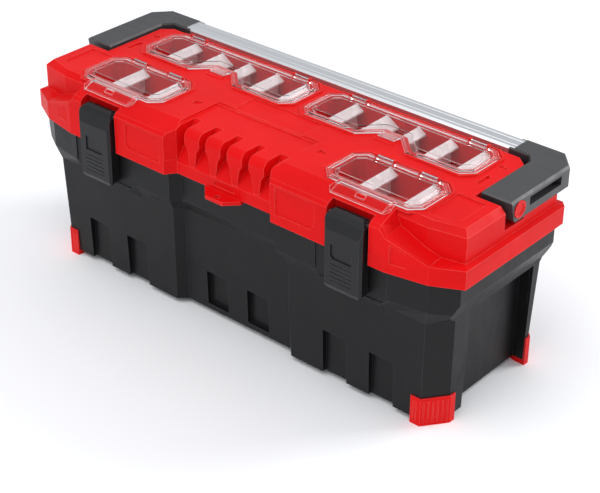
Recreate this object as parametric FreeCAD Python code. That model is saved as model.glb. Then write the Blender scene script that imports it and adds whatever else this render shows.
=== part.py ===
import FreeCAD, Part
import math
import os

# Toolbox with a lift-out tray, clear organiser covers in the lid and a fold-back carrying handle.
# Millimetres. X runs along the box, the front faces -Y, Z is up.
# Origin: on the floor, in the middle of the overall length and depth.

LENGTH = 752.0          # over the lid's rim
DEPTH = 290.0           # from the latch fronts to the back of the handle
WALL = 3.2              # moulded wall of the tub
SKIN = 3.4              # moulded wall of the lid

# levels above the floor
BASE_Z = 8.0            # underside of the tub; the corner feet stand lower
WAIST_Z = BASE_Z + 153  # top of the straight lower body
SKIRT_Z = BASE_Z + 215  # lower edge of the lid
TUB_TOP_Z = SKIRT_Z + 12
LEDGE_Z = SKIRT_Z + 26  # top of the lid's rim
UPPER_Z = LEDGE_Z + 3   # foot of the lid's raised upper body
TOP_Z = SKIRT_Z + 72    # flat top of the lid
HEIGHT = TOP_Z + 6      # top of the organiser covers

# plan
RIM_X = LENGTH / 2
UPPER_X = RIM_X - 8
COLLAR_X = RIM_X - 9
WAIST_X = RIM_X - 26
BASE_X = RIM_X - 30
PANEL_Y = -135.0        # face of the two proud front panels of the lid
CENTRE_Y = -120.0       # face of the lid between the panels
CORNER_Y = -124.0       # face of the lid where its front corner is cut
CORNER_BACK_Y = -103.0  # where that corner meets the lid's end
UPPER_CORNER_X = 318.0  # front corner of the raised upper body
UPPER_CORNER_Y = -94.0
LID_BACK_Y = 115.0
UPPER_FRONT_Y = -104.0
UPPER_BACK_Y = 107.0
COLLAR_Y = -127.0
COLLAR_CENTRE_Y = -113.0
COLLAR_BACK_Y = 110.0
PANEL_X = 95.0          # inner edge of each front panel
STEP_X = 84.0           # foot of the angled step beside the centre
BLOCK_X = 278.0         # outer edge of the raised block that carries the latch
CORNER_X = 40.0         # how far the lid's front corner cuts along the box

# lid hinge
HINGE_Y = 118.0
HINGE_Z = SKIRT_Z + 2
HINGE_X = 220.0
KNUCKLE_R = 6.0
HINGE_PIN_R = 2.5
KNUCKLE_LEN = 20.0
RUNNING = 0.06          # radial clearance of a pin in a moving part

# latches
LATCH_X = 220.0
LATCH_W = 60.0
LATCH_FRONT_Y = -DEPTH / 2
LATCH_PIVOT_Y = -129.0
LATCH_PIVOT_Z = TOP_Z - 23
LATCH_LOW_Z = LATCH_PIVOT_Z - 100
LATCH_PIN_R = 2.0
NOTCH_W = 66.0
NOTCH_BACK_Y = -117.0

# organisers: inner x, outer x, front y, rear y, first divider from the inner end, divider pitch, dividers
FRONT_BOX = (143.0, 297.0, -99.0, -16.0, 58.0, 68.0, 2)
REAR_BOX = (9.0, 291.0, 15.0, 97.0, 46.0, 52.4, 5)
CLIP = 15.0             # clipped corner of a cover
WELL_INSET = 9.0
WELL_FLOOR_Z = TOP_Z - 38
WELL_WALL = 2.4
COVER_Z = TOP_Z + 0.4   # underside of a closed cover
COVER_T = 1.9
COVER_AXIS_Z = TOP_Z + 3.2
COVER_BARREL_R = 2.0
COVER_PIN_R = 1.0
LUG_W = 4.0
BARREL_LEN = 24.0
BARREL_INSET = 26.0     # from the cover's end to the nearer lug
FLAP_W = 95.0
NOTCH_HALF = 41.0       # half width of the notch in the front of a rear cover
NOTCH_DEPTH = 27.0      # its sides run in at 45 degrees

# carrying handle
PIVOT_Y = 8.0
PIVOT_Z = TOP_Z - 10
ARM_R = 15.0
ARM_IN_X = 326.0
ARM_OUT_X = RIM_X - 4
ARM_BACK_Y = DEPTH / 2
ARM_LOW_Z = PIVOT_Z - 14
ARM_TOP_Z = PIVOT_Z + ARM_R
BAR_END_X = 284.0
BAR_FRONT_Y = 112.5
BAR_LOW_Z = PIVOT_Z + 1
SHANK_R = 4.0
CAP_R = 11.5
ARM_ROOM_Z = PIVOT_Z - 16

# tray
TRAY_X = 352.0
TRAY_FRONT_Y = -104.0
TRAY_BACK_Y = 101.0
TRAY_LOW_Z = TUB_TOP_Z - 47.7
TRAY_TOP_Z = TUB_TOP_Z - 4
TRAY_WALL = 2.2
TRAY_GRIP_Z = WELL_FLOOR_Z - 8


def vec(x, y, z):
    return FreeCAD.Vector(x, y, z)


def box(x0, x1, y0, y1, z0, z1):
    return Part.makeBox(x1 - x0, y1 - y0, z1 - z0, vec(x0, y0, z0))


def face_of(points):
    return Part.Face(Part.makePolygon(points + [points[0]]))


def plate(plan, z0, z1):
    """Upright prism over an outline in X and Y."""
    return face_of([vec(x, y, z0) for x, y in plan]).extrude(vec(0, 0, z1 - z0))


def along_x(profile, x0, x1):
    """Prism along X of a profile in Y and Z."""
    return face_of([vec(x0, y, z) for y, z in profile]).extrude(vec(x1 - x0, 0, 0))


def along_y(profile, y0, y1):
    """Prism along Y of a profile in X and Z."""
    return face_of([vec(x, y0, z) for x, z in profile]).extrude(vec(0, y1 - y0, 0))


def rod(x0, x1, y, z, r):
    """Cylinder along X."""
    return Part.makeCylinder(r, x1 - x0, vec(x0, y, z), vec(1, 0, 0))


def flat_loft(low, high):
    """Solid between two flat polygons with the same number of corners, with flat sides only."""
    faces = [face_of(low), face_of(high)]
    for i, a in enumerate(low):
        j = (i + 1) % len(low)
        b, c, d = low[j], high[j], high[i]
        normal = (b - a).cross(c - a)
        if abs((d - a).dot(normal)) < 1e-6 * normal.Length:
            faces.append(face_of([a, b, c, d]))
        else:
            faces.append(face_of([a, b, d]))
            faces.append(face_of([b, c, d]))
    solid = Part.Solid(Part.makeShell(faces))
    if solid.Volume < 0:
        solid.reverse()
    return solid


def tapered(lower, z0, upper, z1):
    return flat_loft([vec(x, y, z0) for x, y in lower], [vec(x, y, z1) for x, y in upper])


def between_x(profile_a, x_a, profile_b, x_b):
    return flat_loft([vec(x_a, y, z) for y, z in profile_a], [vec(x_b, y, z) for y, z in profile_b])


def between_y(profile_a, y_a, profile_b, y_b):
    return flat_loft([vec(x, y_a, z) for x, z in profile_a], [vec(x, y_b, z) for x, z in profile_b])


def outline(front, half, back, cut):
    """Closed outline, the same on both sides. front runs from the right end towards the middle."""
    mirrored = [(-x, y) for x, y in reversed(front)]
    rear = [(-half, back - cut), (-half + cut, back), (half - cut, back), (half, back - cut)]
    return front + mirrored + rear


def mirror(shape):
    return shape.mirror(vec(0, 0, 0), vec(1, 0, 0))


def both(shape):
    """A shape on the right and its mirror image on the left."""
    return [shape, mirror(shape)]


def join(first, others):
    return first.fuse(others).removeSplitter()


def clipped(x0, x1, y0, y1, cut):
    return [(x0 + cut, y0), (x1 - cut, y0), (x1, y0 + cut), (x1, y1 - cut),
            (x1 - cut, y1), (x0 + cut, y1), (x0, y1 - cut), (x0, y0 + cut)]


# ---------------------------------------------------------------- tub

LOWER_Y = -107.0        # face of the front panels at the base
LOWER_DRAFT = 5.0       # the front leans out by this much up to the waist
CENTRE_SET = 12.0       # how far the middle of the front stands back
BACK_BASE_Y = 102.0     # back wall at the base
BACK_DRAFT = 8.0
CUT_X = 23.0            # corner cut of the lower body along X
CUT_Y = 31.0            # and along Y
REAR_CUT = 6.0
SLOTS = ((162.5, 202.5), (239.5, 279.5))   # rib slots of each front panel
SLOT_TOP_Z = BASE_Z + 68
SLOT_DEPTH = 6.0
CENTRE_SLOT = (18.0, 57.0)
CENTRE_SLOT_Z = (BASE_Z + 8, BASE_Z + 62)
END_RECESS_Y = (-50.0, 90.0)
END_RECESS_DEPTH = 20.0
BOSS_HALF = 56.0        # half width of the deeper shoulder behind a latch


def lower_outline(level, inset):
    """Outline of the lower body; level is 0 at the base and 1 at the waist."""
    half = BASE_X + (WAIST_X - BASE_X) * level - inset
    front = LOWER_Y - LOWER_DRAFT * level + inset
    step = 107.0 - 3.0 * level - inset * 0.4
    back = BACK_BASE_Y + BACK_DRAFT * level - inset
    points = [(half, front + CUT_Y), (half - CUT_X, front), (step, front), (step - CENTRE_SET, front + CENTRE_SET)]
    return outline(points, half, back, REAR_CUT)


def collar_outline(inset):
    points = [(COLLAR_X - inset, -98.0 + inset * 0.8), (333.0 - inset * 0.6, -118.0 + inset), (BLOCK_X, COLLAR_Y + inset),
              (PANEL_X - inset * 0.4, COLLAR_Y + inset), (STEP_X - inset * 0.4, COLLAR_CENTRE_Y + inset)]
    return outline(points, COLLAR_X - inset, COLLAR_BACK_Y - inset, REAR_CUT)


def shoulder_line(inset):
    """Outline at the foot of the slanted shoulder, on the lower body's face."""
    half = WAIST_X - inset
    front = LOWER_Y - LOWER_DRAFT + inset
    step = 104.0 - inset * 0.4
    points = [(half, front + CUT_Y), (half - CUT_X, front), (BLOCK_X, front), (step, front),
              (step - CENTRE_SET, front + CENTRE_SET)]
    return outline(points, half, COLLAR_BACK_Y - inset, REAR_CUT)


def end_slant(lift):
    """Room under the slanted shoulder at the right end."""
    profile = [(RIM_X + 20, WAIST_Z - 20), (RIM_X + 20, WAIST_Z + 71 + lift), (COLLAR_X, WAIST_Z + 33 + lift),
               (WAIST_X + 0.5, WAIST_Z + 2 + lift), (WAIST_X + 0.5, WAIST_Z - 20)]
    return along_y(profile, -160, 160)


def tub_block(inset, floor_z):
    """The tub's outer block, or with an inset the space inside it."""
    lower = tapered(lower_outline(0, inset), floor_z, lower_outline(1, inset), WAIST_Z)
    lift = inset * 0.6
    low, high = WAIST_Z - 3 + lift, WAIST_Z + 18 + lift
    shoulder = tapered(shoulder_line(inset), low, collar_outline(inset), high)
    collar = join(shoulder, [plate(collar_outline(inset), high, TUB_TOP_Z)])
    neck = plate(shoulder_line(inset + 1), WAIST_Z - 2, TUB_TOP_Z)
    return join(lower, [neck, collar.cut(both(end_slant(lift)))])


def slot_cuts():
    """Shallow upright slots in the front panels, the centre and the back."""
    cuts = []
    front = LOWER_Y - LOWER_DRAFT
    for x0, x1 in SLOTS:
        cuts += both(box(x0, x1, front - 1, LOWER_Y + SLOT_DEPTH, 0, SLOT_TOP_Z))
        cuts += both(box(x0, x1, BACK_BASE_Y - SLOT_DEPTH, BACK_BASE_Y + 12, 0, SLOT_TOP_Z))
    x0, x1 = CENTRE_SLOT
    z0, z1 = CENTRE_SLOT_Z
    cuts += both(box(x0, x1, front, LOWER_Y + CENTRE_SET + SLOT_DEPTH, z0, z1))
    return cuts


def slot_backs():
    """Thicker wall behind each slot."""
    pads = []
    for x0, x1 in SLOTS:
        x0 -= WALL
        x1 += WALL
        top = SLOT_TOP_Z + WALL
        pads += both(box(x0, x1, LOWER_Y, LOWER_Y + SLOT_DEPTH + WALL, BASE_Z, top))
        pads += both(box(x0, x1, BACK_BASE_Y - SLOT_DEPTH - WALL, BACK_BASE_Y, BASE_Z, top))
    x0, x1 = CENTRE_SLOT
    z0, z1 = CENTRE_SLOT_Z
    back = LOWER_Y + CENTRE_SET + SLOT_DEPTH + WALL
    pads += both(box(x0 - WALL, x1 + WALL, LOWER_Y + CENTRE_SET, back, z0 - WALL, z1 + WALL))
    return pads


def latch_boss():
    """Deeper shoulder behind a latch: a block with bevelled ends and underside."""
    top = WAIST_Z + 25
    high = WAIST_Z + 5
    low = high - 17
    face = [(-BOSS_HALF, top), (-BOSS_HALF, high + 11), (-BOSS_HALF + 12, high), (BOSS_HALF - 12, high),
            (BOSS_HALF, high + 11), (BOSS_HALF, top)]
    foot = [(-BOSS_HALF - 10, top), (-BOSS_HALF - 10, low + 13), (-BOSS_HALF + 2, low), (BOSS_HALF - 2, low),
            (BOSS_HALF + 10, low + 13), (BOSS_HALF + 10, top)]
    front = [(LATCH_X + x, z) for x, z in face]
    rear = [(LATCH_X + x, z) for x, z in foot]
    return between_y(front, COLLAR_Y, rear, -110)


def tub_knuckle():
    """Middle knuckle of a lid hinge and the web that carries it."""
    half = KNUCKLE_LEN / 2
    web = box(HINGE_X - half, HINGE_X + half, COLLAR_BACK_Y - WALL, HINGE_Y, HINGE_Z - 5, HINGE_Z + 4)
    return join(web, [rod(HINGE_X - half, HINGE_X + half, HINGE_Y, HINGE_Z, KNUCKLE_R)])


def tub():
    shell = join(tub_block(0, BASE_Z), both(latch_boss()))
    shell = shell.cut(tub_block(WALL, BASE_Z + WALL))
    y0, y1 = END_RECESS_Y
    deep = WAIST_X - END_RECESS_DEPTH
    ends = both(box(deep - WALL, BASE_X - 1, y0 - WALL, y1 + WALL, BASE_Z, WAIST_Z))
    ledges = both(box(WAIST_X - 8, WAIST_X + 7, -70, 70, TRAY_LOW_Z - 6, TRAY_LOW_Z - 0.3))
    floor_rows = [-50, 0, 50]
    half_row = WAIST_X - 30
    rows = [box(-half_row, half_row, y - 1, y + 1, BASE_Z + WALL, BASE_Z + WALL + 3) for y in floor_rows]
    shell = join(shell, slot_backs() + ends + ledges + rows + both(tub_knuckle()))
    recess = both(box(deep, RIM_X, y0, y1, 0, WAIST_Z - 3))
    seats = both(box(LATCH_X - BOSS_HALF - 1, LATCH_X + BOSS_HALF + 1, COLLAR_Y - 1, COLLAR_Y + 1.2, WAIST_Z + 10, TUB_TOP_Z + 1))
    shell = shell.cut(recess + slot_cuts() + seats)
    shell = shell.cut(both(rod(HINGE_X - 20, HINGE_X + 20, HINGE_Y, HINGE_Z, HINGE_PIN_R)))
    return shell.removeSplitter()


# ---------------------------------------------------------------- feet

FOOT_H = BASE_Z + 34
FOOT_T = 3.0


def foot_front(body_shape):
    """Wrap-round corner protector with a solid pad below and upright grooves."""
    x = BASE_X + FOOT_T
    y = LOWER_Y - FOOT_T
    a = (BASE_X - CUT_X + 1.8, y)
    b = (x, LOWER_Y + CUT_Y - 1.4)
    plan = [(BASE_X - 37, y), a, b, (x, b[1] + 9), (BASE_X - 12, b[1] + 9), (BASE_X - 37, LOWER_Y + 18)]
    body = plate(plan, 0, FOOT_H)
    run_x, run_y = b[0] - a[0], b[1] - a[1]
    grooves = []
    for i in range(6):
        t = (i + 0.7) / 6.4
        grooves.append(Part.makeCylinder(0.9, FOOT_H - 9, vec(a[0] + run_x * t, a[1] + run_y * t, 4)))
    for i in range(2):
        grooves.append(Part.makeCylinder(0.8, FOOT_H - 11, vec(BASE_X - 33 + 5 * i, y, 5)))
    inside = tub_block(0.6, BASE_Z)
    return body.cut([body_shape, inside] + grooves)


def foot_rear(body_shape):
    x = BASE_X + FOOT_T
    y = BACK_BASE_Y + FOOT_T + 1.5
    plan = [(BASE_X - 34, y), (x - REAR_CUT - 1, y), (x, y - REAR_CUT - 1), (x, END_RECESS_Y[1] + 0.5),
            (BASE_X - 14, END_RECESS_Y[1] + 0.5), (BASE_X - 34, BACK_BASE_Y - 4)]
    body = plate(plan, 0, FOOT_H)
    grooves = [Part.makeCylinder(1.0, FOOT_H - 9, vec(BASE_X - 29 + 5 * i, y, 4)) for i in range(5)]
    inside = tub_block(0.6, BASE_Z)
    return body.cut([body_shape, inside] + grooves)


# ---------------------------------------------------------------- lid

RAMP_LOW_Z = SKIRT_Z + 17
RAMP_TOP_Y = -84.0
PLATE_Z = TOP_Z - 3     # sunk plate above the finger ribs
RIB_PITCH = 38.0
RIB_HALF = 13.0         # half width of a rib at the top
RIB_TIP_HALF = 4.5
CEILING_Z = PLATE_Z - SKIN
INNER_END_X = 318.0     # inner face of the wall beside each handle arm
BEVEL = 8.0             # bevel round the top of the lid
LUG_HOLE_R = 4.0
LUG_HOLE_Y = -131.5
LUG_T = 5.0


def rim():
    front = [(PANEL_X, PANEL_Y), (STEP_X, CENTRE_Y)]
    line = outline([(RIM_X, CORNER_BACK_Y), (RIM_X - CORNER_X, CORNER_Y), (BLOCK_X, PANEL_Y)] + front,
                   RIM_X, LID_BACK_Y, 8)
    ledge = outline([(UPPER_X, UPPER_CORNER_Y), (UPPER_CORNER_X, UPPER_FRONT_Y), (BLOCK_X, UPPER_FRONT_Y),
                     (PANEL_X, UPPER_FRONT_Y), (STEP_X, UPPER_FRONT_Y)], UPPER_X, UPPER_BACK_Y, 7)
    return join(plate(line, SKIRT_Z, LEDGE_Z), [tapered(line, LEDGE_Z, ledge, UPPER_Z)])


def upper_body():
    side_line = outline([(UPPER_X, UPPER_CORNER_Y), (UPPER_CORNER_X, UPPER_FRONT_Y)], UPPER_X, UPPER_BACK_Y, 7)
    top_line = outline([(UPPER_X - BEVEL, UPPER_CORNER_Y + BEVEL), (UPPER_CORNER_X + 2, UPPER_FRONT_Y + BEVEL)],
                       UPPER_X - BEVEL, UPPER_BACK_Y - 4, 5)
    straight = plate(side_line, UPPER_Z, TOP_Z - BEVEL)
    return join(straight, [tapered(side_line, TOP_Z - BEVEL, top_line, TOP_Z)])


def front_block():
    """Raised block of a front panel, and the wedge that falls away outside it."""
    low = LEDGE_Z - 5
    back = UPPER_FRONT_Y + 14
    full = [(back, low), (back, TOP_Z), (UPPER_FRONT_Y, TOP_Z), (-131, TOP_Z - 11), (PANEL_Y, TOP_Z - 16), (PANEL_Y, low)]
    edge = [(back, low), (back, TOP_Z - 20), (UPPER_FRONT_Y, TOP_Z - 20), (-131, TOP_Z - 23), (PANEL_Y, TOP_Z - 25), (PANEL_Y, low)]
    end = [(back, low), (back, UPPER_Z), (UPPER_FRONT_Y, UPPER_Z), (CORNER_Y + 3, LEDGE_Z + 0.6), (CORNER_Y, LEDGE_Z),
           (CORNER_Y, low)]
    main = along_x(full, STEP_X, BLOCK_X - 9)
    shoulder = between_x(full, BLOCK_X - 9, edge, BLOCK_X)
    wedge = between_x(edge, BLOCK_X, end, RIM_X - CORNER_X)
    return join(main, [shoulder, wedge])


def centre_cut():
    """Room above the sloping finger ramp between the two panels."""
    side = [(PANEL_X, PANEL_Y - 1), (STEP_X, CENTRE_Y), (STEP_X, RAMP_TOP_Y)]
    return plate(side + [(-x, y) for x, y in reversed(side)], RAMP_LOW_Z, TOP_Z + 5)


def ramp_wall():
    profile = [(CENTRE_Y, RAMP_LOW_Z - 4), (CENTRE_Y, RAMP_LOW_Z), (RAMP_TOP_Y, PLATE_Z), (RAMP_TOP_Y + 6, PLATE_Z),
               (RAMP_TOP_Y + 6, PLATE_Z - 6), (CENTRE_Y + 6, RAMP_LOW_Z - 4)]
    return along_x(profile, -STEP_X - 4, STEP_X + 4)


def finger_rib(x):
    """Rib with a wide bevelled head that narrows to a tip at the foot of the ramp."""
    front = CENTRE_Y + 1
    back = RAMP_TOP_Y + 3
    r = 11.0
    s = r * (1 - math.sqrt(0.5))
    rounded = Part.Arc(vec(0, front + r, PLATE_Z), vec(0, front + s, PLATE_Z - s), vec(0, front, PLATE_Z - r)).toShape()
    corners = [vec(0, front, PLATE_Z - r), vec(0, front, RAMP_LOW_Z + 1), vec(0, back, PLATE_Z - 5), vec(0, back, PLATE_Z),
               vec(0, front + r, PLATE_Z)]
    edges = [rounded] + [Part.makeLine(a, b) for a, b in zip(corners, corners[1:])]
    side = Part.Face(Part.Wire(edges))
    side.translate(vec(x - 2 * RIB_HALF, 0, 0))
    body = side.extrude(vec(4 * RIB_HALF, 0, 0))
    half_face = [(RIB_TIP_HALF, RAMP_LOW_Z), (RIB_TIP_HALF + 3.5, PLATE_Z - 27), (RIB_HALF, PLATE_Z - 19), (RIB_HALF, PLATE_Z + 1)]
    face = [(x + w, z) for w, z in half_face] + [(x - w, z) for w, z in reversed(half_face)]
    return body.common(along_y(face, -130, -70))


def lid_cavity():
    corner = [(RIM_X - SKIN, CORNER_BACK_Y + 1), (RIM_X - CORNER_X - 1, CORNER_Y + 3), (BLOCK_X, PANEL_Y + SKIN)]
    step = [(PANEL_X + 3, PANEL_Y + SKIN), (STEP_X + 2.5, CENTRE_Y + SKIN)]
    skirt = outline(corner + step, RIM_X - SKIN, LID_BACK_Y - 2.6, 7)
    rooms = [plate(skirt, SKIRT_Z - 1, LEDGE_Z - SKIN)]
    back = UPPER_BACK_Y - SKIN
    rooms.append(box(-INNER_END_X, INNER_END_X, -76, back, SKIRT_Z, CEILING_Z))
    rooms += both(box(STEP_X + 6, INNER_END_X, -100, -70, SKIRT_Z, CEILING_Z))
    rooms.append(box(-UPPER_X + 4, UPPER_X - 4, -90, PIVOT_Y - 28, SKIRT_Z, TOP_Z - BEVEL - 2))
    rooms.append(box(-UPPER_X + 4, UPPER_X - 4, -90, back, SKIRT_Z, ARM_ROOM_Z - 9.4))
    ramp = [(CENTRE_Y + SKIN, LEDGE_Z - 12), (-80, CEILING_Z - 1), (-70, CEILING_Z - 1), (-70, SKIRT_Z), (CENTRE_Y + SKIN, SKIRT_Z)]
    rooms.append(along_x(ramp, -STEP_X + 2, STEP_X - 2).cut(plate([(-90, -130), (90, -130), (90, -113), (-90, -113)], 0, SKIRT_Z + 12)))
    block = [(-131, TOP_Z - 18), (-104, TOP_Z - 5), (-98, TOP_Z - 5), (-98, SKIRT_Z), (-131, SKIRT_Z)]
    inner = LATCH_X - NOTCH_W / 2 - WALL
    outer = LATCH_X + NOTCH_W / 2 + WALL
    rooms += both(along_x(block, PANEL_X + 5, inner))
    rooms += both(along_x([(-130, SKIRT_Z), (-130, LEDGE_Z + 8), (-98, LEDGE_Z + 14), (-98, SKIRT_Z)], outer, BLOCK_X))
    return rooms


def arm_room():
    """Space beside and behind the upper body for a handle arm, and the deeper notch for its lug."""
    front = PIVOT_Y - 24
    plan = [(ARM_IN_X - 4, front), (RIM_X + 5, front), (RIM_X + 5, 130), (298, 130), (298, 110), (ARM_IN_X - 4, 90)]
    notch = box(ARM_IN_X - 4, RIM_X + 5, front, PIVOT_Y + 17, ARM_ROOM_Z - 6, TOP_Z)
    return [plate(plan, ARM_ROOM_Z, TOP_Z + 5), notch]


def well(spec, grow, z0, z1):
    """Clipped space of an organiser well, grown sideways by grow."""
    x0, x1, y0, y1 = spec[:4]
    d = WELL_INSET - grow
    return plate(clipped(x0 + d, x1 - d, y0 + d, y1 - d, CLIP - 5), z0, z1)


def notch_plan(grow):
    """Notch in the front of a rear cover, with sides at 45 degrees, grown all round by grow."""
    mid = (REAR_BOX[0] + REAR_BOX[1]) / 2
    y0 = REAR_BOX[2]
    wide = NOTCH_HALF + grow * math.sqrt(2) + 10
    deep = NOTCH_DEPTH + grow
    narrow = wide - 10 - deep
    return [(mid - wide, y0 - 10), (mid + wide, y0 - 10), (mid + narrow, y0 + deep), (mid - narrow, y0 + deep)]


def organiser_ridge(spec):
    """Low border round a cover, open in front where the flap or the tab passes."""
    x0, x1, y0, y1 = spec[:4]
    outer = plate(clipped(x0 - 4.5, x1 + 4.5, y0 - 4.5, y1 + 4.4, CLIP + 1), TOP_Z - 1, TOP_Z + 2)
    inner = plate(clipped(x0 - 1.2, x1 + 1.2, y0 - 1.2, y1 + 3, CLIP), TOP_Z - 2, TOP_Z + 3)
    ring = outer.cut(inner)
    if spec is FRONT_BOX:
        return ring.cut(box(x0 - 10, x1 + 10, y0 - 10, y0 + 16, TOP_Z, TOP_Z + 5))
    return ring.cut(plate(notch_plan(0), TOP_Z, TOP_Z + 5))


def lug_places(spec):
    """Left edges of the four lugs that hold a cover's two pins."""
    near = spec[0] + BARREL_INSET
    far = spec[1] - BARREL_INSET - LUG_W
    gap = BARREL_LEN + LUG_W + 0.8
    return [near, near + gap, far - gap, far]


def cover_lugs(spec):
    y1 = spec[3]
    lugs = []
    for x in lug_places(spec):
        lug = box(x, x + LUG_W, y1 - 2.2, y1 + 2.4, TOP_Z - 1, COVER_AXIS_Z + 2)
        lugs.append(lug.cut(rod(x - 1, x + LUG_W + 1, y1, COVER_AXIS_Z, COVER_PIN_R)))
    return lugs


def padlock_lug():
    """Shelf under the lid's front edge with a hole for a padlock's shackle."""
    back = CENTRE_Y + SKIN - 0.4
    front = LUG_HOLE_Y - LUG_HOLE_R - 4
    plan = [(-32, back), (32, back), (32, CENTRE_Y - 2), (15, front), (-15, front), (-32, CENTRE_Y - 2)]
    hole = Part.makeCylinder(LUG_HOLE_R, LUG_T + 2, vec(0, LUG_HOLE_Y, SKIRT_Z - LUG_T - 1))
    return plate(plan, SKIRT_Z - LUG_T, SKIRT_Z).cut(hole)


def lid_knuckles():
    """The two outer knuckles of a lid hinge."""
    half = KNUCKLE_LEN / 2 + 0.4
    back = HINGE_Y + KNUCKLE_R
    parts = []
    for x in (HINGE_X - half - 14, HINGE_X + half):
        profile = [(LID_BACK_Y - 2.6, HINGE_Z), (back, HINGE_Z), (back, HINGE_Z + 6), (LID_BACK_Y - 2.6, HINGE_Z + 18)]
        web = along_x(profile, x, x + 14)
        parts.append(join(web, [rod(x, x + 14, HINGE_Y, HINGE_Z, KNUCKLE_R)]))
    return parts


def surface_recesses():
    """Shallow recesses and marks moulded in the lid's outer faces."""
    front_plate = box(-89, 89, CENTRE_Y - 2, -36, PLATE_Z, TOP_Z + 3)
    rear_lip = box(-89, 89, -36, -31, TOP_Z - 1.5, TOP_Z + 3)
    middle_plate = box(-60, 60, -31, 9, TOP_Z - 1.2, TOP_Z + 3)
    cuts = [front_plate, rear_lip, middle_plate]
    low, high = LEDGE_Z - 12, TOP_Z - 19
    inner_panel = [(103, low), (161, low), (167, low + 8), (167, high - 4), (163, high), (103, high)]
    cuts += both(along_y(inner_panel, PANEL_Y - 2, PANEL_Y + 1.6))
    slant = (CORNER_Y - PANEL_Y) / (RIM_X - CORNER_X - BLOCK_X)
    deep = 2.2
    front_line = [(268, PANEL_Y + deep), (BLOCK_X, PANEL_Y + deep), (350, PANEL_Y + deep + 72 * slant * 0.62)]
    slanted = plate([(268, -160), (350, -160)] + list(reversed(front_line)), low - 5, high + 5)
    outer_panel = [(284, low), (329, low), (333, low + 9), (284, high - 13)]
    cuts += both(along_y(outer_panel, -160, -100).common(slanted))
    cuts += both(plate([(304, -86), (334, -86), (345, -76), (345, -24), (304, -24)], TOP_Z - 1.6, TOP_Z + 2))
    cuts += both(plate([(304, 12), (311, 8), (311, 34), (304, 38)], TOP_Z - 2.4, TOP_Z + 2))
    cuts += both(plate([(102, -58), (112, -60), (116, -50), (104, -46)], TOP_Z - 2, TOP_Z + 2))
    cuts += both(plate([(299, 66), (306, 60), (306, 64), (314, 64), (314, 68), (306, 68), (306, 72)], TOP_Z - 1.6, TOP_Z + 2))
    mid = (REAR_BOX[0] + REAR_BOX[1]) / 2
    y0 = REAR_BOX[2]
    cuts += both(box(mid - 6, mid + 6, y0 + 5, y0 + 10, TOP_Z - 2.6, TOP_Z + 1))
    pocket = [(-20, SKIRT_Z + 6), (20, SKIRT_Z + 6), (15, SKIRT_Z + 15), (-15, SKIRT_Z + 15)]
    cuts.append(along_y(pocket, CENTRE_Y - 2, CENTRE_Y + 1.5))
    return cuts


def catch_ramp():
    """Wedge under the tab of a rear cover that carries its catch."""
    mid = (REAR_BOX[0] + REAR_BOX[1]) / 2
    y0 = REAR_BOX[2]
    profile = [(y0 + 1, TOP_Z - 1), (y0 + 11, TOP_Z - 1), (y0 + 11, TOP_Z + 2), (y0 + 6, TOP_Z + 2)]
    return along_x(profile, mid - 15, mid + 15)


def latch_notch():
    x0 = LATCH_X - NOTCH_W / 2
    lower = box(x0, x0 + NOTCH_W, PANEL_Y - 5, NOTCH_BACK_Y, SKIRT_Z - 5, TOP_Z - 9)
    mouth = box(x0, x0 + NOTCH_W, PANEL_Y - 5, NOTCH_BACK_Y - 5, TOP_Z - 12, TOP_Z + 5)
    return join(lower, [mouth])


def notch_walls():
    """Side and back walls round a latch, above the tub's edge."""
    x0 = LATCH_X - NOTCH_W / 2 - WALL
    x1 = LATCH_X + NOTCH_W / 2 + WALL
    return box(x0, x1, PANEL_Y + 1, NOTCH_BACK_Y + WALL, SKIRT_Z, TOP_Z - 16)


def flap_catch():
    """Catch that the slot of a front flap drops over."""
    return box(LATCH_X - 5, LATCH_X + 5, -112, -109, TOP_Z - 8, TOP_Z - 0.6)


def lid_shell():
    shell = join(rim(), [upper_body()] + both(front_block()))
    shell = shell.cut(centre_cut())
    rooms = arm_room()
    shell = shell.cut(rooms + [mirror(room) for room in rooms])
    shell = shell.cut(lid_cavity())
    ribs = [finger_rib(RIB_PITCH * (i - 1.5)) for i in range(4)]
    shell = join(shell, [ramp_wall()] + ribs)
    outer = []
    hollow = both(latch_notch())
    for spec in (FRONT_BOX, REAR_BOX):
        block = well(spec, WELL_WALL, WELL_FLOOR_Z - WELL_WALL, TOP_Z - 1)
        space = well(spec, 0, WELL_FLOOR_Z, TOP_Z + 1)
        if spec is REAR_BOX:
            block = block.cut(plate(notch_plan(WELL_INSET - WELL_WALL), 0, TOP_Z - 4))
            space = space.cut(plate(notch_plan(WELL_INSET), 0, TOP_Z + 2))
        outer += both(block)
        hollow += both(space)
    shell = join(shell, outer + both(notch_walls()))
    extras = both(flap_catch()) + both(catch_ramp())
    for spec in (FRONT_BOX, REAR_BOX):
        extras += both(organiser_ridge(spec))
        for lug in cover_lugs(spec):
            extras += both(lug)
    for knuckle in lid_knuckles():
        extras += both(knuckle)
    shell = join(shell.cut(surface_recesses()), extras)
    shell = shell.cut(hollow)
    clear = plate(collar_outline(-1.4), SKIRT_Z - 30, TUB_TOP_Z + 0.6)
    gap = KNUCKLE_LEN / 2 + 0.4
    slots = both(box(HINGE_X - gap, HINGE_X + gap, LID_BACK_Y - 6, HINGE_Y + 20, SKIRT_Z - 5, TUB_TOP_Z + 2))
    shell = shell.cut([clear] + slots)
    pins = both(rod(HINGE_X - 40, HINGE_X + 40, HINGE_Y, HINGE_Z, HINGE_PIN_R + RUNNING))
    pins += both(rod(LATCH_X - 36, LATCH_X + 36, LATCH_PIVOT_Y, LATCH_PIVOT_Z, LATCH_PIN_R))
    pins += both(rod(INNER_END_X - 4, ARM_IN_X, PIVOT_Y, PIVOT_Z, SHANK_R))
    return shell.cut(pins).removeSplitter()


# ---------------------------------------------------------------- organiser covers and dividers

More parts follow.
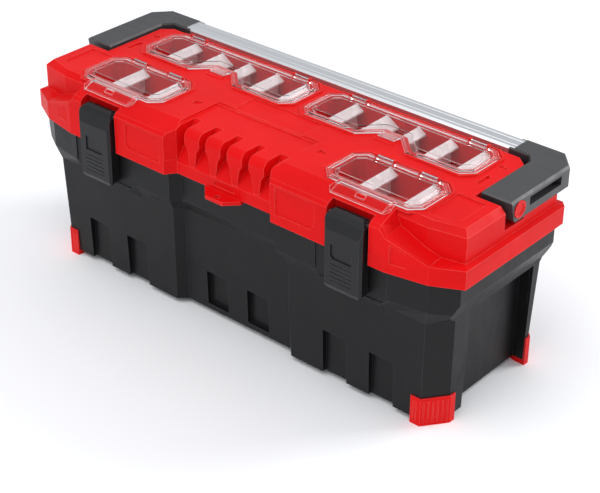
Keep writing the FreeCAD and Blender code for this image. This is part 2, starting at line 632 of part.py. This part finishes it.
def ring(spec, inset, width, z0, z1, lean):
    """Raised frame on a cover that follows its outline, leaning in towards the top."""
    x0, x1, y0, y1 = spec[:4]

    def plan(d):
        return clipped(x0 + d, x1 - d, y0 + d, y1 - d - 1, CLIP - 0.6 * d)

    outside = tapered(plan(inset), z0, plan(inset + lean), z1)
    inside = plate(plan(inset + width), z0 - 1, z1 + 1)
    return outside.cut(inside)


def cover(spec):
    x0, x1, y0, y1 = spec[:4]
    base = COVER_Z + COVER_T
    shape = plate(clipped(x0, x1, y0, y1, CLIP), COVER_Z, base)
    low = clipped(x0 + 10, x1 - 10, y0 + 10, y1 - 11, CLIP - 5)
    high = clipped(x0 + 14, x1 - 14, y0 + 14, y1 - 15, CLIP - 7)
    inner_low = clipped(x0 + 11.6, x1 - 11.6, y0 + 11.6, y1 - 12.6, CLIP - 5.5)
    inner_high = clipped(x0 + 15.2, x1 - 15.2, y0 + 15.2, y1 - 16.2, CLIP - 7.5)
    shape = join(shape, [tapered(low, base - 0.5, high, HEIGHT), ring(spec, 2.5, 4, base - 0.5, base + 2, 2)])
    shape = shape.cut(tapered(inner_low, COVER_Z - 0.5, inner_high, HEIGHT - 1.6))
    if spec is FRONT_BOX:
        shape = join(shape, [front_flap(spec)])
    else:
        frame_plan = notch_plan(0)
        body = plate(clipped(x0, x1, y0, y1, CLIP), COVER_Z, HEIGHT)
        band = plate(notch_plan(4.5), COVER_Z, base + 2).cut(plate(notch_plan(2.5), COVER_Z - 1, HEIGHT + 1))
        wall = plate(notch_plan(15.5), COVER_Z, HEIGHT).cut(plate(notch_plan(14), COVER_Z - 1, HEIGHT + 1))
        flat = plate(notch_plan(15.5), COVER_Z, base)
        shape = shape.cut(plate(notch_plan(14), base, HEIGHT + 1))
        shape = join(shape, [part.common(body) for part in (band, wall, flat)])
        shape = join(shape.cut(plate(frame_plan, COVER_Z - 1, HEIGHT + 1)), [rear_tab(spec)])
    for x in lug_places(spec):
        shape = shape.cut(box(x - 0.4, x + LUG_W + 0.4, y1 - 3.8, y1 + 5, COVER_Z - 1, HEIGHT + 1))
    places = lug_places(spec)
    barrels = []
    for a, b in ((places[0], places[1]), (places[2], places[3])):
        barrels.append(rod(a + LUG_W + 0.4, b - 0.4, y1, COVER_AXIS_Z, COVER_BARREL_R))
    shape = join(shape, barrels)
    return shape.cut(rod(x0, x1, y1, COVER_AXIS_Z, COVER_PIN_R + RUNNING)).removeSplitter()


def front_flap(spec):
    """Thumb flap of a front cover, lying on the lid's front slope, with bevelled ends and a slot for the catch."""
    y0 = spec[2]
    top = COVER_Z + 4.4
    outer = [(y0 + 3, COVER_Z + 0.2), (UPPER_FRONT_Y, COVER_Z + 0.3), (-118.5, TOP_Z - 5), (-120, TOP_Z - 4), (-119, TOP_Z - 1.6),
             (UPPER_FRONT_Y - 2, top), (y0 + 3, top)]
    inner = [(y0 + 4.5, COVER_Z - 1), (UPPER_FRONT_Y, COVER_Z - 1), (-121, TOP_Z - 8), (-121, TOP_Z - 5.6), (-119.4, TOP_Z - 3.4),
             (UPPER_FRONT_Y - 1.6, top - 1.8), (y0 + 4.5, top - 1.8)]
    half = FLAP_W / 2
    shape = along_x(outer, LATCH_X - half, LATCH_X + half).cut(along_x(inner, LATCH_X - half + 7, LATCH_X + half - 7))
    plan = [(LATCH_X - half + 3, y0 + 4), (LATCH_X + half - 3, y0 + 4), (LATCH_X + half, -112), (LATCH_X + half - 8, -122),
            (LATCH_X - half + 8, -122), (LATCH_X - half, -112)]
    shape = shape.common(plate(plan, TOP_Z - 20, TOP_Z + 20))
    ends = [(LATCH_X - half - 1, TOP_Z - 20), (LATCH_X + half + 1, TOP_Z - 20), (LATCH_X + half + 1, TOP_Z),
            (LATCH_X + half - 7, TOP_Z + 6), (LATCH_X - half + 7, TOP_Z + 6), (LATCH_X - half - 1, TOP_Z)]
    shape = shape.common(along_y(ends, -130, -80))
    return shape.cut(box(LATCH_X - 7, LATCH_X + 7, -113.5, -107.5, TOP_Z - 20, TOP_Z + 20))


def rear_tab(spec):
    """Ribbed thumb tab in the notch of a rear cover."""
    mid = (spec[0] + spec[1]) / 2
    y0 = spec[2]
    back = y0 + NOTCH_DEPTH
    shape = along_x([(y0 + 13, COVER_Z + 2.2), (back + 2, COVER_Z), (back + 2, COVER_Z + 3.6), (y0 + 13, COVER_Z + 4)],
                    mid - 13, mid + 13)
    ribs = [box(mid - 11, mid + 11, y0 + 14.5 + 2.8 * i, y0 + 15.7 + 2.8 * i, COVER_Z + 3, COVER_Z + 4.9) for i in range(4)]
    return join(shape, ribs)


def dividers(spec):
    """Drop-in dividers, each a thin wall with a sloping ledge on its right."""
    x0, x1, y0, y1, first, pitch, count = spec
    inset = WELL_INSET + 0.5
    high = COVER_Z - 1.5
    room = well(spec, -0.5, WELL_FLOOR_Z, high)
    if spec is REAR_BOX:
        room = room.cut(plate(notch_plan(WELL_INSET + 0.5), 0, TOP_Z + 2))
    parts = []
    for i in range(count):
        x = x0 + first + pitch * i
        ledge = 19.0 if spec is REAR_BOX and i == 1 else 11.0
        drop = ledge * 0.62
        profile = [(x - 2, WELL_FLOOR_Z), (x, WELL_FLOOR_Z), (x, high - 2.4), (x + ledge, high - 2.4 - drop),
                   (x + ledge, high - drop), (x, high), (x - 2, high)]
        parts.append(along_y(profile, y0 + inset, y1 - inset).common(room))
    return parts


def cover_pins():
    pins = []
    for spec in (FRONT_BOX, REAR_BOX):
        places = lug_places(spec)
        for a, b in ((places[0], places[1]), (places[2], places[3])):
            pins += both(rod(a, b + LUG_W, spec[3], COVER_AXIS_Z, COVER_PIN_R))
    return Part.makeCompound(pins)


# ---------------------------------------------------------------- latches

def latch():
    """Front latch: a shell that hangs from a pin in the lid and laps over the tub's collar."""
    x0 = LATCH_X - LATCH_W / 2
    x1 = LATCH_X + LATCH_W / 2
    front = LATCH_FRONT_Y
    low = LATCH_LOW_Z
    top = LATCH_PIVOT_Z + 9.5
    knee = LATCH_PIVOT_Z - 15
    profile = [(front + 3, low), (front, low + 6), (front, knee), (front + 5, LATCH_PIVOT_Z + 1), (front + 10, top - 2),
               (LATCH_PIVOT_Y - 2, top), (LATCH_PIVOT_Y + 4, top - 1), (LATCH_PIVOT_Y + 8, LATCH_PIVOT_Z + 5),
               (LATCH_PIVOT_Y + 8, LATCH_PIVOT_Z - 6), (LATCH_PIVOT_Y, knee), (LATCH_PIVOT_Y, low)]
    shape = along_x(profile, x0, x1)
    hollow = [(front + 3.5, low + 5), (front + 3.5, knee - 1), (front + 8.5, LATCH_PIVOT_Z), (LATCH_PIVOT_Y - 3, LATCH_PIVOT_Z + 6),
              (LATCH_PIVOT_Y + 12, LATCH_PIVOT_Z + 6), (LATCH_PIVOT_Y + 12, low + 5)]
    shape = shape.cut(along_x(hollow, x0 + 3, x1 - 3))
    plan = clipped(x0, x1, front, LATCH_PIVOT_Y + 20, 3.5)
    shape = shape.common(plate(plan, low - 1, top + 1))
    face = [(x0 + 6, low - 1), (x1 - 6, low - 1), (x1, low + 6), (x1, top - 8), (x1 - 9, top + 1), (x0 + 9, top + 1),
            (x0, top - 8), (x0, low + 6)]
    shape = shape.common(along_y(face, front - 1, LATCH_PIVOT_Y + 20))
    bosses = [rod(x0 + 0.5, x0 + 12, LATCH_PIVOT_Y, LATCH_PIVOT_Z, 5), rod(x1 - 12, x1 - 0.5, LATCH_PIVOT_Y, LATCH_PIVOT_Z, 5)]
    webs = [box(x, x + 2, front + 2, LATCH_PIVOT_Y - 0.2, low + 3, knee) for x in (x0 + 18, x1 - 20)]
    nib = box(LATCH_X - 16, LATCH_X + 16, LATCH_PIVOT_Y - 1, COLLAR_Y - 0.6, low + 9, low + 15)
    nib_arm = box(LATCH_X - 16, LATCH_X + 16, front + 2, LATCH_PIVOT_Y, low + 9, low + 12)
    shape = join(shape, bosses + webs + [nib, nib_arm])
    recess = [(x0 + 12, low + 49), (x0 + 16, low + 45), (x1 - 14, low + 45), (x1 - 14, low + 66), (x0 + 12, low + 66)]
    thumb = between_y([(x, z) for x, z in recess], front - 0.1, [(x * 1.0, z - (z - low - 45) * 0.04) for x, z in recess], front + 1.8)
    grips = [box(x0 + 12, x1 - 13, front - 1, front + 0.9, low + 13 + 6 * i, low + 14.6 + 6 * i) for i in range(5)]
    shape = shape.cut([thumb] + grips)
    return shape.cut(rod(x0 - 1, x1 + 1, LATCH_PIVOT_Y, LATCH_PIVOT_Z, LATCH_PIN_R + RUNNING)).removeSplitter()


def latch_pins():
    half = NOTCH_W / 2 + 3
    return Part.makeCompound(both(rod(LATCH_X - half, LATCH_X + half, LATCH_PIVOT_Y, LATCH_PIVOT_Z, LATCH_PIN_R)))


def hinge_pins():
    half = KNUCKLE_LEN / 2 + 14
    return Part.makeCompound(both(rod(HINGE_X - half, HINGE_X + half, HINGE_Y, HINGE_Z, HINGE_PIN_R)))


# ---------------------------------------------------------------- carrying handle

def bar_profile():
    """Flat extrusion with two grooves along its top."""
    y0, y1 = BAR_FRONT_Y, ARM_BACK_Y - 1.5
    z0, z1 = BAR_LOW_Z, ARM_TOP_Z - 1
    top = []
    for groove in (y0 + 22, y0 + 9):
        top += [(groove + 1, z1), (groove, z1 - 1), (groove - 1, z1)]
    return [(y0 + 1.5, z0), (y1 - 1.5, z0), (y1, z0 + 1.5), (y1, z1 - 3), (y1 - 3, z1)] + top + [(y0 + 3, z1), (y0, z1 - 3), (y0, z0 + 1.5)]


def handle_bar():
    shape = along_x(bar_profile(), -BAR_END_X - 22, BAR_END_X + 22)
    hollow = box(-BAR_END_X - 30, BAR_END_X + 30, BAR_FRONT_Y + 3, ARM_BACK_Y - 4.5, BAR_LOW_Z + 2.5, ARM_TOP_Z - 4.5)
    return shape.cut(hollow)


def arm_right():
    front = PIVOT_Y + 5
    inner_y = BAR_FRONT_Y - 1.3

    def plan(d):
        return [(ARM_OUT_X - d, front), (ARM_OUT_X - d, 118), (ARM_OUT_X - 24, ARM_BACK_Y - d), (BAR_END_X, ARM_BACK_Y - d),
                (BAR_END_X, inner_y + d * 0.5), (315, inner_y + d * 0.5), (ARM_IN_X + d * 0.5, 97), (ARM_IN_X + d * 0.5, front)]

    body = join(plate(plan(0), ARM_LOW_Z, ARM_TOP_Z - 3), [tapered(plan(0), ARM_TOP_Z - 3, plan(3), ARM_TOP_Z)])
    nose = [(14, -14), (9, -15), (-8, -15), (-11, -12), (-15, 2), (-17, 13), (-15, 15), (14, 15)]
    end = along_x([(PIVOT_Y + y, PIVOT_Z + z) for y, z in nose], ARM_IN_X, ARM_OUT_X)
    side = [(ARM_IN_X, ARM_LOW_Z - 2), (ARM_OUT_X, ARM_LOW_Z - 2), (ARM_OUT_X, ARM_TOP_Z - 3), (ARM_OUT_X - 3, ARM_TOP_Z),
            (ARM_IN_X + 1.5, ARM_TOP_Z), (ARM_IN_X, ARM_TOP_Z - 3)]
    body = join(body, [end.common(along_y(side, PIVOT_Y - 30, PIVOT_Y + 30))])
    slot = box(ARM_OUT_X - 11, ARM_OUT_X + 1, 30, 100, PIVOT_Z - 4, PIVOT_Z + 8)
    under = box(ARM_IN_X + 4, ARM_OUT_X - 14, 30, 104, ARM_LOW_Z - 1, ARM_TOP_Z - 4)
    seat = rod(ARM_OUT_X - 3, ARM_OUT_X + 2, PIVOT_Y, PIVOT_Z, CAP_R + 0.35)
    bore = rod(ARM_IN_X - 1, ARM_OUT_X, PIVOT_Y, PIVOT_Z, SHANK_R + RUNNING)
    step = box(BAR_END_X - 1, BAR_END_X + 8, 100, 150, ARM_TOP_Z - 1.8, ARM_TOP_Z + 1)
    return body.cut([slot, under, seat, bore, step, along_x(bar_profile(), BAR_END_X - 1, BAR_END_X + 22)])


def pivot_cap():
    """Cap with the shank that the arm turns on, seated in the lid's inner wall."""
    head = rod(ARM_OUT_X - 2.6, ARM_OUT_X + 1.4, PIVOT_Y, PIVOT_Z, CAP_R)
    dish = rod(ARM_OUT_X + 0.4, ARM_OUT_X + 2, PIVOT_Y, PIVOT_Z, CAP_R - 3)
    return join(head.cut(dish), [rod(INNER_END_X - 3, ARM_OUT_X - 2.6, PIVOT_Y, PIVOT_Z, SHANK_R)])


# ---------------------------------------------------------------- tray

def tray_plan(d):
    return outline([(TRAY_X - d, TRAY_FRONT_Y + 22), (TRAY_X - 24 - d * 0.4, TRAY_FRONT_Y + d)], TRAY_X - d, TRAY_BACK_Y - d, 14)


def tray():
    z0, z1 = TRAY_LOW_Z, TRAY_TOP_Z
    w = TRAY_WALL
    body = plate(tray_plan(0), z0, z1).cut(plate(tray_plan(w), z0 + w, z1 + 1))
    lip = plate(tray_plan(-3), z1 - 2, z1).cut(plate(tray_plan(w), z1 - 3, z1 + 1))
    half = TRAY_X - w
    spine = along_y([(-half, z0), (half, z0), (half, z1 - 4), (85, z1 - 4), (75, z1 + 2), (-75, z1 + 2), (-85, z1 - 4), (-half, z1 - 4)],
                    -w / 2, w / 2)
    crosses = [box(x - 1, x + 1, 0, TRAY_BACK_Y - w, z0, z1 - 6) for x in (-176, 176)]
    crosses += [box(x - 1, x + 1, TRAY_FRONT_Y + w, 0, z0, z1 - 6) for x in (-118, 118)]
    shape = join(body, [lip, spine] + crosses)
    return shape.cut(box(-55, 55, -w, w, z1 - 26, z1 - 6)).removeSplitter()


def tray_grip(tray_shape):
    """Rounded grip clipped over the tray's spine."""
    low = TRAY_TOP_Z - 4
    high = TRAY_GRIP_Z
    arch = [(-72, low), (-72, high - 8), (-64, high), (64, high), (72, high - 8), (72, low)]
    under = [(-60, low - 1), (-60, high - 12), (-55, high - 8), (55, high - 8), (60, high - 12), (60, low - 1)]
    return along_y(arch, -7, 7).cut([along_y(under, -8, 8), tray_shape])


# ---------------------------------------------------------------- all the pieces

def nodes():
    tub_shape = tub()
    parts = {"tub": tub_shape}
    pairs = {
        "foot_front": foot_front(tub_shape),
        "foot_rear": foot_rear(tub_shape),
        "latch": latch(),
        "cover_front": cover(FRONT_BOX),
        "cover_rear": cover(REAR_BOX),
        "handle_arm": arm_right(),
        "pivot_cap": pivot_cap(),
    }
    for name, shape in pairs.items():
        parts[name + "_right"] = shape
        parts[name + "_left"] = mirror(shape)
    for spec, name in ((FRONT_BOX, "dividers_front"), (REAR_BOX, "dividers_rear")):
        pieces = dividers(spec)
        shift = vec(-spec[0] - spec[1], 0, 0)
        parts[name + "_right"] = Part.makeCompound(pieces)
        parts[name + "_left"] = Part.makeCompound([piece.translated(shift) for piece in pieces])
    parts["lid_shell"] = lid_shell()
    parts["padlock_lug"] = padlock_lug()
    parts["lid_hinge_pins"] = hinge_pins()
    parts["latch_pins"] = latch_pins()
    parts["cover_pins"] = cover_pins()
    parts["handle_bar"] = handle_bar()
    parts["tray"] = tray()
    parts["tray_grip"] = tray_grip(parts["tray"])
    return parts


def main():
    os.makedirs("parts", exist_ok=True)
    whole = FreeCAD.BoundBox()
    for name, shape in nodes().items():
        solids = Part.makeCompound(shape.Solids)
        solids.exportStep("parts/" + name + ".step")
        whole.add(solids.BoundBox)
        print(name, "solids", len(shape.Solids), "valid", shape.isValid(), "cm3", round(shape.Volume / 1000, 1))
    print("box", whole)


main()
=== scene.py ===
import math

import bpy
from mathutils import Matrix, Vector

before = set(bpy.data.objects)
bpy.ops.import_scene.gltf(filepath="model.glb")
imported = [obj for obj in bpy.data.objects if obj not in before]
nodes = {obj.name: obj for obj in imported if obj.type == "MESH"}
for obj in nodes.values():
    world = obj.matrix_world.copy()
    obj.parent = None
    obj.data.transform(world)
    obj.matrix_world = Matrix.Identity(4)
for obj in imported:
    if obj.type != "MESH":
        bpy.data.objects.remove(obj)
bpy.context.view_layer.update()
MM = 0.001


# ---------------------------------------------------------------- node helpers

SOCKETS = {"metal": "Metallic", "ior": "IOR", "specular": "Specular IOR Level",
           "transmission": "Transmission Weight"}


class Shader:
    """A new material and short ways to add nodes to it."""

    def __init__(self, name):
        self.mat = bpy.data.materials.new(name)
        self.mat.use_nodes = True
        self.tree = self.mat.node_tree
        self.bsdf = self.tree.nodes["Principled BSDF"]
        self.place = self.add("ShaderNodeTexCoord").outputs["Object"]

    def add(self, kind, **settings):
        node = self.tree.nodes.new(kind)
        for key, value in settings.items():
            setattr(node, key, value)
        return node

    def link(self, source, target):
        self.tree.links.new(source, target)

    def feed(self, socket, source):
        """Drive one of the shader's own sockets by a node's output."""
        self.link(source, self.bsdf.inputs[socket])

    def set(self, **values):
        """Give the shader's own sockets constants."""
        for key, value in values.items():
            self.bsdf.inputs[SOCKETS[key]].default_value = value

    def stretched(self, scale):
        node = self.add("ShaderNodeMapping")
        node.inputs["Scale"].default_value = scale
        self.link(self.place, node.inputs["Vector"])
        return node.outputs["Vector"]

    def noise(self, scale, detail=3.0, rough=0.5, vector=None):
        node = self.add("ShaderNodeTexNoise")
        node.inputs["Scale"].default_value = scale
        node.inputs["Detail"].default_value = detail
        node.inputs["Roughness"].default_value = rough
        self.link(vector or self.place, node.inputs["Vector"])
        return node.outputs["Fac"]

    def remap(self, value, old, new):
        """The value carried from the range old to the range new, and kept inside it."""
        node = self.add("ShaderNodeMapRange")
        self.link(value, node.inputs["Value"])
        for name, number in zip(("From Min", "From Max", "To Min", "To Max"), (*old, *new)):
            node.inputs[name].default_value = number
        return node.outputs["Result"]

    def multiply(self, a, b):
        node = self.add("ShaderNodeMath", operation="MULTIPLY")
        self.link(a, node.inputs[0])
        self.link(b, node.inputs[1])
        return node.outputs[0]

    def blend(self, factor, a, b):
        """From a, where factor is 0, to b; each is a colour or another node's output."""
        node = self.add("ShaderNodeMix", data_type="RGBA")
        self.link(factor, node.inputs["Factor"])
        for name, value in (("A", a), ("B", b)):
            socket = [s for s in node.inputs if s.name == name and s.type == "RGBA"][0]
            if isinstance(value, tuple):
                socket.default_value = (*value, 1)
            else:
                self.link(value, socket)
        return [s for s in node.outputs if s.type == "RGBA"][0]

    def bump(self, height, strength, distance, onto=None):
        node = self.add("ShaderNodeBump")
        node.inputs["Strength"].default_value = strength
        node.inputs["Distance"].default_value = distance
        self.link(height, node.inputs["Height"])
        if onto:
            self.link(onto, node.inputs["Normal"])
        return node.outputs["Normal"]

    def edges(self, radius):
        """1 on convex and concave edges, 0 on flats."""
        rounded = self.add("ShaderNodeBevel", samples=2)
        rounded.inputs["Radius"].default_value = radius
        geometry = self.add("ShaderNodeNewGeometry")
        dot = self.add("ShaderNodeVectorMath", operation="DOT_PRODUCT")
        self.link(rounded.outputs["Normal"], dot.inputs[0])
        self.link(geometry.outputs["Normal"], dot.inputs[1])
        return self.remap(dot.outputs["Value"], old=(0.75, 1.0), new=(1.0, 0.0))


def scaled(colour, factor):
    return tuple(min(1.0, c * factor) for c in colour)


# ---------------------------------------------------------------- materials

RED = (0.70, 0.004, 0.005)
# edge colour of the red: partly rubbed wear, partly a painted edge highlight
WORN_AND_HIGHLIGHT_RED = (0.92, 0.17, 0.15)
BLACK = (0.0065, 0.0065, 0.0072)
# edge colour of the black: partly rubbed wear, partly a painted edge highlight
WORN_AND_HIGHLIGHT_BLACK = (0.085, 0.085, 0.090)
GREY_BLACK = (0.022, 0.022, 0.024)
CLEAR = (1.0, 0.97, 0.97)
HAZY = (0.97, 0.93, 0.93)
MILKY = (0.93, 0.86, 0.86)
MILKY_LIGHT = (0.96, 0.91, 0.91)
ALUMINIUM_DARK = (0.56, 0.57, 0.59)
ALUMINIUM_LIGHT = (0.70, 0.71, 0.72)
STEEL_DARK = (0.42, 0.42, 0.44)
STEEL_LIGHT = (0.60, 0.60, 0.62)


def moulded(name, colour, worn_and_highlight, rough, specular, grain=900.0, depth=0.10):
    """Moulded plastic: spark-eroded grain, faint flow marks, scuffed sheen, and edges lightened partly as
    rubbed wear and partly as a painted edge highlight.
    """
    s = Shader(name)
    flow = s.noise(7.0, detail=4.0, rough=0.55, vector=s.stretched((1.0, 1.0, 2.4)))
    swirl = s.remap(flow, old=(0.35, 0.65), new=(0.0, 1.0))
    tone = s.blend(swirl, scaled(colour, 0.93), scaled(colour, 1.06))
    specks = s.remap(s.noise(420.0, detail=2.0), old=(0.60, 0.78), new=(0.0, 0.35))
    tone = s.blend(specks, tone, scaled(colour, 1.18))
    # edges blended towards the lighter edge colour: partly rubbed wear, partly a painted edge highlight
    rub_and_highlight = s.multiply(s.edges(1.1 * MM), s.remap(s.noise(60.0), old=(0.30, 0.62), new=(0.45, 0.95)))
    s.feed("Base Color", s.blend(rub_and_highlight, tone, worn_and_highlight))
    scuff = s.noise(26.0, detail=5.0, rough=0.62, vector=s.stretched((1.0, 2.6, 1.0)))
    s.feed("Roughness", s.remap(scuff, old=(0.3, 0.7), new=(rough - 0.05, rough + 0.07)))
    skin = s.bump(s.noise(grain, detail=2.0, rough=0.6), strength=0.22, distance=depth * MM)
    s.feed("Normal", s.bump(flow, strength=0.06, distance=0.5 * MM, onto=skin))
    s.set(specular=specular)
    return s.mat


def clear_plastic():
    """Clear plastic, slightly wavy, with fine handling marks; a low index keeps the thin covers faint."""
    s = Shader("clear_plastic")
    haze = s.noise(34.0, rough=0.6, vector=s.stretched((1.0, 3.0, 1.0)))
    s.feed("Base Color", s.blend(s.remap(haze, old=(0.4, 0.7), new=(0.0, 1.0)), CLEAR, HAZY))
    s.feed("Roughness", s.remap(haze, old=(0.35, 0.75), new=(0.015, 0.07)))
    # edges let less light through and show the near-white base colour as a pale rim: a painted edge highlight
    s.feed("Transmission Weight", s.remap(s.edges(0.9 * MM), old=(0.1, 0.8), new=(1.0, 0.35)))
    s.feed("Normal", s.bump(s.noise(16.0, detail=1.0), strength=0.05, distance=0.4 * MM))
    s.set(ior=1.16, specular=0.5)
    return s.mat


def divider_plastic():
    """Milky translucent plastic of the drop-in dividers."""
    s = Shader("divider_plastic")
    cloud = s.noise(45.0)
    s.feed("Base Color", s.blend(s.remap(cloud, old=(0.35, 0.65), new=(0.0, 1.0)), MILKY, MILKY_LIGHT))
    s.feed("Roughness", s.remap(cloud, old=(0.3, 0.7), new=(0.22, 0.34)))
    s.feed("Normal", s.bump(s.noise(700.0, detail=2.0), strength=0.05, distance=0.04 * MM))
    s.set(transmission=0.12, ior=1.42)
    return s.mat


def aluminium():
    """Extruded bar: anodised satin, with fine lines and broader streaks along its length."""
    s = Shader("aluminium")
    lines = s.noise(1.0, detail=6.0, rough=0.7, vector=s.stretched((3.0, 900.0, 900.0)))
    broad = s.noise(5.0, vector=s.stretched((0.6, 14.0, 14.0)))
    shine = s.remap(lines, old=(0.3, 0.7), new=(0.0, 1.0))
    s.feed("Base Color", s.blend(shine, ALUMINIUM_DARK, ALUMINIUM_LIGHT))
    s.feed("Roughness", s.remap(broad, old=(0.3, 0.7), new=(0.30, 0.42)))
    s.feed("Normal", s.bump(lines, strength=0.08, distance=0.05 * MM))
    s.set(metal=0.85)
    return s.mat


def steel():
    """Drawn wire of the pins."""
    s = Shader("steel_pin")
    lines = s.noise(1.0, detail=5.0, rough=0.7, vector=s.stretched((5.0, 1500.0, 1500.0)))
    s.feed("Base Color", s.blend(lines, STEEL_DARK, STEEL_LIGHT))
    s.feed("Roughness", s.remap(lines, old=(0.3, 0.7), new=(0.25, 0.4)))
    s.feed("Normal", s.bump(lines, strength=0.06, distance=0.03 * MM))
    s.set(metal=1.0)
    return s.mat


def finishes():
    """The material of each kind of node, by the start of the node's name."""
    red = moulded("red_plastic", RED, WORN_AND_HIGHLIGHT_RED, rough=0.38, specular=0.08)
    red_fine = moulded("red_plastic_fine", RED, WORN_AND_HIGHLIGHT_RED, rough=0.34, specular=0.10, grain=1300.0, depth=0.06)
    black = moulded("black_plastic", BLACK, WORN_AND_HIGHLIGHT_BLACK, rough=0.40, specular=0.22)
    latch = moulded("black_plastic_fine", scaled(BLACK, 0.9), WORN_AND_HIGHLIGHT_BLACK, rough=0.36, specular=0.32,
                    grain=1300.0, depth=0.07)
    grip = moulded("black_plastic_grip", GREY_BLACK, WORN_AND_HIGHLIGHT_BLACK, rough=0.50, specular=0.9,
                   grain=650.0, depth=0.14)
    clear = clear_plastic()
    pale = divider_plastic()
    bar = aluminium()
    pin = steel()
    return {
        "tub": black, "foot": red_fine, "tray": black, "tray_grip": red_fine,
        "lid_shell": red, "padlock_lug": red_fine, "dividers": pale, "cover": clear, "latch": latch,
        "handle_arm": grip, "handle_bar": bar, "pivot_cap": red_fine,
        "lid_hinge": pin, "latch_pins": pin, "cover_pins": pin,
    }


# ---------------------------------------------------------------- edges

# width of the rounding on each kind of node, in millimetres; the padlock lug and the pins have none
EDGE_MM = {
    "tub": 1.2, "foot": 0.5, "tray": 0.6, "tray_grip": 0.8, "lid_shell": 1.1, "dividers": 0.3, "cover": 0.35,
    "latch": 0.6, "handle_arm": 1.0, "handle_bar": 0.5, "pivot_cap": 0.5,
}
FLAT_ANGLE = math.radians(0.6)
SHARP_ANGLE = math.radians(24)


def soften(obj, width):
    """Merge the faces of each flat, then round the sharp edges between them."""
    flat = obj.modifiers.new("flat faces", "DECIMATE")
    flat.decimate_type = "DISSOLVE"
    flat.angle_limit = FLAT_ANGLE
    soft = obj.modifiers.new("soft edges", "BEVEL")
    soft.width = width
    soft.segments = 2
    soft.limit_method = "ANGLE"
    soft.angle_limit = SHARP_ANGLE
    soft.use_clamp_overlap = True
    soft.harden_normals = False
    normals = obj.modifiers.new("normals", "WEIGHTED_NORMAL")
    normals.keep_sharp = True


def dress():
    """Give every node its finish, and its rounded edges if it has any."""
    table = finishes()
    for name, obj in nodes.items():
        key = max((k for k in table if name.startswith(k)), key=len)
        slots = obj.data.materials
        if not slots:
            slots.append(table[key])
        for i in range(len(slots)):
            slots[i] = table[key]
        if key in EDGE_MM:
            soften(obj, EDGE_MM[key] * MM)


# ---------------------------------------------------------------- camera, floor and light

CAMERA_AT = (1.2719, -1.4514, 1.2495)
AZIMUTH = math.radians(40.8)
ELEVATION = math.radians(31.0)
ROLL = math.radians(0.3)
LENS_MM = 96.65
SENSOR_MM = 36
SHIFT_RIGHT = 0.0095
SHIFT_UP = -0.002
FARTHEST = 50

FLOOR_SIZE = 30
FLOOR_SHADE = (0.97, 0.975, 0.985)
FLOOR_LIGHT = (0.985, 0.99, 1.0)
SKY = (0.94, 0.96, 1.0, 1)
SKY_STRENGTH = 0.74
KEY_DIRECTION = Vector((0.515, 0.65, 0.56))
KEY_REACH = 2.9
HALF_HEIGHT = (0, 0, 0.15)
LOW_ON_FRONT = (0, 0, 0.1)


def make_camera():
    data = bpy.data.cameras.new("camera")
    cam = bpy.data.objects.new("camera", data)
    bpy.context.scene.collection.objects.link(cam)
    cam.location = CAMERA_AT
    level = math.cos(ELEVATION)
    forward = Vector((-math.sin(AZIMUTH) * level, math.cos(AZIMUTH) * level, -math.sin(ELEVATION)))
    cam.rotation_euler = forward.to_track_quat("-Z", "Y").to_euler()
    cam.rotation_euler.rotate_axis("Z", ROLL)
    data.lens = LENS_MM
    data.sensor_width = SENSOR_MM
    data.shift_x = SHIFT_RIGHT
    data.shift_y = SHIFT_UP
    data.clip_end = FARTHEST
    bpy.context.scene.camera = cam


def make_floor():
    bpy.ops.mesh.primitive_plane_add(size=FLOOR_SIZE)
    floor = bpy.context.object
    floor.name = "floor"
    s = Shader("studio_floor")
    s.feed("Base Color", s.blend(s.noise(1.5, detail=2.0), FLOOR_SHADE, FLOOR_LIGHT))
    s.bsdf.inputs["Roughness"].default_value = 0.8
    s.set(specular=0.1)
    floor.data.materials.append(s.mat)


def area(name, at, size, power, target=HALF_HEIGHT):
    """A square lamp at a place, turned towards the target."""
    data = bpy.data.lights.new(name, "AREA")
    data.energy = power
    data.size = size
    obj = bpy.data.objects.new(name, data)
    bpy.context.scene.collection.objects.link(obj)
    obj.location = at
    obj.rotation_euler = (Vector(target) - Vector(at)).to_track_quat("-Z", "Y").to_euler()


def make_light():
    world = bpy.data.worlds.new("studio")
    bpy.context.scene.world = world
    world.use_nodes = True
    background = world.node_tree.nodes["Background"]
    background.inputs["Color"].default_value = SKY
    background.inputs["Strength"].default_value = SKY_STRENGTH
    area("key", at=KEY_DIRECTION * KEY_REACH, size=1.0, power=30)
    area("top", at=(-0.2, -1.3, 2.7), size=2.6, power=36)
    area("front", at=(0.3, -2.6, 0.7), size=2.2, power=6, target=LOW_ON_FRONT)


dress()
make_camera()
make_floor()
make_light()
bpy.context.scene.view_settings.view_transform = "Standard"
